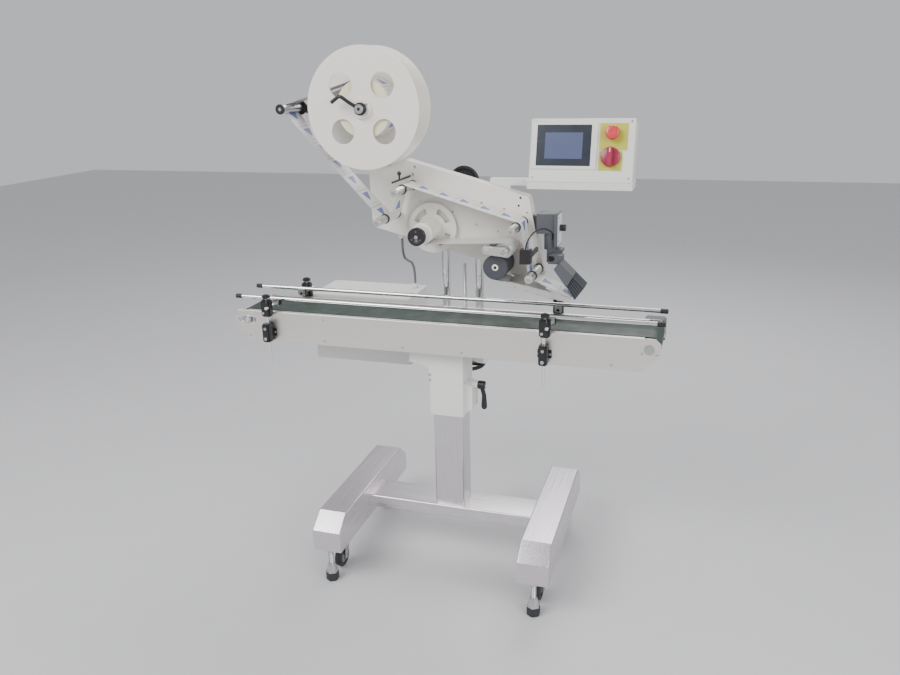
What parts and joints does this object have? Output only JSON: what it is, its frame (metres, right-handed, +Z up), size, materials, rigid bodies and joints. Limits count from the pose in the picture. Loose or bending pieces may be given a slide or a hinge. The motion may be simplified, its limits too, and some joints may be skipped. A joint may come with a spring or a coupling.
{
  "type": "bottle labelling machine",
  "caption": "Belt conveyor on a lifting column with an angled top labelling head, label reel, peel plate, brush and operator panel.",
  "frame": {"origin": "on the floor, under the middle of the machine's overall length and width", "axes": "+X along the belt from infeed to outfeed, -Y towards the operator, +Z up"},
  "size_m": [1.29, 0.56, 1.543],
  "materials": {
    "anodised": "satin anodised",
    "belt_green": "matt PVC belting",
    "black_plastic": "moulded, satin",
    "black_rubber": "matt",
    "brushed_stainless": "brushed, satin",
    "cream_plastic": "smooth, semi-gloss",
    "dark_grey": "matt",
    "galvanised": "zinc grey",
    "grey_cable": "smooth PVC sheath",
    "label_paper": "smooth paper",
    "panel_stainless": "fine brushed, satin",
    "polished_steel": "ground and polished",
    "red_plastic": "smooth, glossy",
    "white_paint": "smooth semi-gloss powder coat"
  },
  "bodies": {
    "base": {"left_foot": "brushed_stainless", "right_foot": "brushed_stainless", "cross_beam": "brushed_stainless", "column_tube": "brushed_stainless", "levelling_feet": "galvanised"},
    "machine": {"column_sleeve": "white_paint", "conveyor_saddle": "white_paint", "front_side_panel": "panel_stainless", "rear_side_panel": "panel_stainless", "conveyor_belt": "belt_green", "slider_bed": "panel_stainless", "conveyor_fittings": "black_plastic", "belt_gearmotor": "dark_grey", "control_cabinet": "white_paint", "lift_block": "anodised", "head_cable": "grey_cable"},
    "clamp_lever": {"column_clamp_lever": "black_plastic"},
    "drive": {"drive_drum": "polished_steel"},
    "tail": {"tail_roller": "polished_steel"},
    "front_guide": {"front_guide_uprights": "black_plastic"},
    "rear_guide": {"rear_guide_uprights": "black_plastic"},
    "front_rail_set": {"front_rail": "polished_steel"},
    "rear_rail_set": {"rear_rail": "polished_steel"},
    "lift": {"lift_posts": "polished_steel", "head_carriage": "anodised"},
    "lift_wheel": {"lift_screw": "polished_steel"},
    "cross_wheel": {"cross_screw": "black_plastic"},
    "head": {"head_plate": "white_paint", "head_cover": "white_paint", "nip_arm": "anodised", "peel_table": "white_paint", "label_web": "label_paper", "label_web_unwind": "label_paper", "web_fittings": "black_plastic", "hmi_arm": "white_paint", "hmi_box": "white_paint", "brush_slide": "dark_grey"},
    "label_reel": {"reel": "cream_plastic", "label_roll": "label_paper"},
    "reel_clamp": {"reel_lever": "black_plastic"},
    "dancer": {"dancer_arm": "dark_grey"},
    "dancer_idler": {"dancer_roller": "anodised"},
    "idler_lower_left": {"lower_left_roller": "anodised"},
    "idler_upper_left": {"upper_left_roller": "anodised"},
    "idler_upper_right": {"upper_right_roller": "anodised"},
    "idler_peel": {"peel_roller": "anodised"},
    "waste_rewinder": {"rewinder": "cream_plastic"},
    "feed": {"feed_roller": "black_rubber"},
    "nip": {"nip_roller": "anodised"},
    "wiping_brush": {"brush": "dark_grey"},
    "stop_button": {"emergency_stop": "red_plastic"},
    "power_switch": {"main_switch": "red_plastic"},
    "caster_front_left": {"caster_fork_front_left": "galvanised"},
    "wheel_front_left": {"caster_wheel_front_left": "black_rubber"},
    "caster_rear_left": {"caster_fork_rear_left": "galvanised"},
    "wheel_rear_left": {"caster_wheel_rear_left": "black_rubber"},
    "caster_front_right": {"caster_fork_front_right": "galvanised"},
    "wheel_front_right": {"caster_wheel_front_right": "black_rubber"},
    "caster_rear_right": {"caster_fork_rear_right": "galvanised"},
    "wheel_rear_right": {"caster_wheel_rear_right": "black_rubber"}
  },
  "joints": [
    {"name": "caster_front_left_swivel", "type": "hinge", "parent": "base", "child": "caster_front_left", "pos_m": [-0.286, -0.167, 0.1], "axis": [0, 0, 1], "continuous": true},
    {"name": "wheel_front_left_roll", "type": "hinge", "parent": "caster_front_left", "child": "wheel_front_left", "pos_m": [-0.286, -0.187, 0.036], "axis": [1, 0, 0], "continuous": true},
    {"name": "caster_rear_left_swivel", "type": "hinge", "parent": "base", "child": "caster_rear_left", "pos_m": [-0.286, 0.167, 0.1], "axis": [0, 0, 1], "continuous": true},
    {"name": "wheel_rear_left_roll", "type": "hinge", "parent": "caster_rear_left", "child": "wheel_rear_left", "pos_m": [-0.286, 0.187, 0.036], "axis": [1, 0, 0], "continuous": true},
    {"name": "caster_front_right_swivel", "type": "hinge", "parent": "base", "child": "caster_front_right", "pos_m": [0.34, -0.167, 0.1], "axis": [0, 0, 1], "continuous": true},
    {"name": "wheel_front_right_roll", "type": "hinge", "parent": "caster_front_right", "child": "wheel_front_right", "pos_m": [0.34, -0.187, 0.036], "axis": [1, 0, 0], "continuous": true},
    {"name": "caster_rear_right_swivel", "type": "hinge", "parent": "base", "child": "caster_rear_right", "pos_m": [0.34, 0.167, 0.1], "axis": [0, 0, 1], "continuous": true},
    {"name": "wheel_rear_right_roll", "type": "hinge", "parent": "caster_rear_right", "child": "wheel_rear_right", "pos_m": [0.34, 0.187, 0.036], "axis": [1, 0, 0], "continuous": true},
    {"name": "column_height", "type": "slide", "parent": "base", "child": "machine", "axis": [0, 0, 1], "range_m": [-0.045, 0.06]},
    {"name": "clamp_lever_turn", "type": "hinge", "parent": "machine", "child": "clamp_lever", "pos_m": [0.127, 0, 0.578], "axis": [1, 0, 0], "range_deg": [-40, 40]},
    {"name": "drive_drum_spin", "type": "hinge", "parent": "machine", "child": "drive", "pos_m": [0.6085, 0, 0.7602], "axis": [0, 1, 0], "continuous": true},
    {"name": "tail_roller_spin", "type": "hinge", "parent": "machine", "child": "tail", "pos_m": [-0.5955, 0, 0.7602], "axis": [0, 1, 0], "continuous": true},
    {"name": "front_guide_height", "type": "slide", "parent": "machine", "child": "front_guide", "axis": [0, 0, 1], "range_m": [-0.01, 0.06]},
    {"name": "front_rail_reach", "type": "slide", "parent": "front_guide", "child": "front_rail_set", "axis": [0, 1, 0], "range_m": [-0.018, 0.014]},
    {"name": "rear_guide_height", "type": "slide", "parent": "machine", "child": "rear_guide", "axis": [0, 0, 1], "range_m": [-0.01, 0.06]},
    {"name": "rear_rail_reach", "type": "slide", "parent": "rear_guide", "child": "rear_rail_set", "axis": [0, -1, 0], "range_m": [-0.018, 0.014]},
    {"name": "head_height", "type": "slide", "parent": "machine", "child": "lift", "axis": [0, 0, 1], "range_m": [-0.025, 0.06], "deforming": ["head_cable"]},
    {"name": "lift_wheel_turn", "type": "hinge", "parent": "lift", "child": "lift_wheel", "pos_m": [0.034, 0.142, 0.7], "axis": [0, 0, 1], "range_deg": [-760, 1810]},
    {"name": "head_cross", "type": "slide", "parent": "lift", "child": "head", "axis": [0, 1, 0], "range_m": [-0.015, 0.015], "deforming": ["head_cable"]},
    {"name": "cross_wheel_turn", "type": "hinge", "parent": "lift", "child": "cross_wheel", "pos_m": [0.027, 0.175, 1.155], "axis": [0, 1, 0], "range_deg": [-1090, 1090]},
    {"name": "feed_spin", "type": "hinge", "parent": "head", "child": "feed", "pos_m": [0.177, 0, 0.95], "axis": [0, 1, 0], "continuous": true},
    {"name": "nip_spin", "type": "hinge", "parent": "head", "child": "nip", "pos_m": [0.2051, 0, 0.99867], "axis": [0, 1, 0], "continuous": true},
    {"name": "lower_left_spin", "type": "hinge", "parent": "head", "child": "idler_lower_left", "pos_m": [-0.144, 0, 1.076], "axis": [0, 1, 0], "continuous": true},
    {"name": "upper_left_spin", "type": "hinge", "parent": "head", "child": "idler_upper_left", "pos_m": [-0.089, 0, 1.16], "axis": [0, 1, 0], "continuous": true},
    {"name": "upper_right_spin", "type": "hinge", "parent": "head", "child": "idler_upper_right", "pos_m": [0.236, 0, 1.065], "axis": [0, 1, 0], "continuous": true},
    {"name": "peel_roller_spin", "type": "hinge", "parent": "head", "child": "idler_peel", "pos_m": [0.282, 0, 0.933], "axis": [0, 1, 0], "continuous": true},
    {"name": "rewinder_spin", "type": "hinge", "parent": "head", "child": "waste_rewinder", "pos_m": [-0.033, 0, 1.038], "axis": [0, 1, 0], "continuous": true},
    {"name": "reel_spin", "type": "hinge", "parent": "head", "child": "label_reel", "pos_m": [-0.194, 0, 1.378], "axis": [0, 1, 0], "continuous": true},
    {"name": "reel_lever_turn", "type": "hinge", "parent": "label_reel", "child": "reel_clamp", "pos_m": [-0.194, -0.06, 1.378], "axis": [0, 1, 0], "range_deg": [-35, 35]},
    {"name": "dancer_swing", "type": "hinge", "parent": "head", "child": "dancer", "pos_m": [-0.223, 0.06, 1.292], "axis": [0, 1, 0], "range_deg": [-12, 12], "deforming": ["label_web_unwind"]},
    {"name": "dancer_roller_spin", "type": "hinge", "parent": "dancer", "child": "dancer_idler", "pos_m": [-0.432, 0, 1.379], "axis": [0, 1, 0], "continuous": true},
    {"name": "brush_tilt", "type": "hinge", "parent": "head", "child": "wiping_brush", "pos_m": [0.327, 0, 0.975], "axis": [0, 1, 0], "range_deg": [-14, 0]},
    {"name": "emergency_stop_press", "type": "slide", "parent": "head", "child": "stop_button", "axis": [0, 0.9703, -0.2419], "range_m": [0, 0.005], "stiffness_N_per_m": 600},
    {"name": "main_switch_turn", "type": "hinge", "parent": "head", "child": "power_switch", "pos_m": [0.47, 0.05597, 1.24304], "axis": [0, -0.9703, 0.2419], "range_deg": [0, 90]}
  ],
  "couplings": [
    {"joint": "tail_roller_spin", "follows": "drive_drum_spin", "ratio": 1},
    {"joint": "lift_wheel_turn", "follows": "head_height", "rad_per_m": 523.6},
    {"joint": "cross_wheel_turn", "follows": "head_cross", "rad_per_m": 1256.6},
    {"joint": "nip_spin", "follows": "feed_spin", "ratio": -1.75},
    {"joint": "lower_left_spin", "follows": "feed_spin", "ratio": -3.0435},
    {"joint": "upper_left_spin", "follows": "feed_spin", "ratio": 3.0435},
    {"joint": "upper_right_spin", "follows": "feed_spin", "ratio": 3.0435},
    {"joint": "peel_roller_spin", "follows": "feed_spin", "ratio": -3.0435},
    {"joint": "rewinder_spin", "follows": "feed_spin", "ratio": 1.1667},
    {"joint": "reel_spin", "follows": "feed_spin", "ratio": -0.4375},
    {"joint": "dancer_roller_spin", "follows": "feed_spin", "ratio": -3.0435}
  ]
}
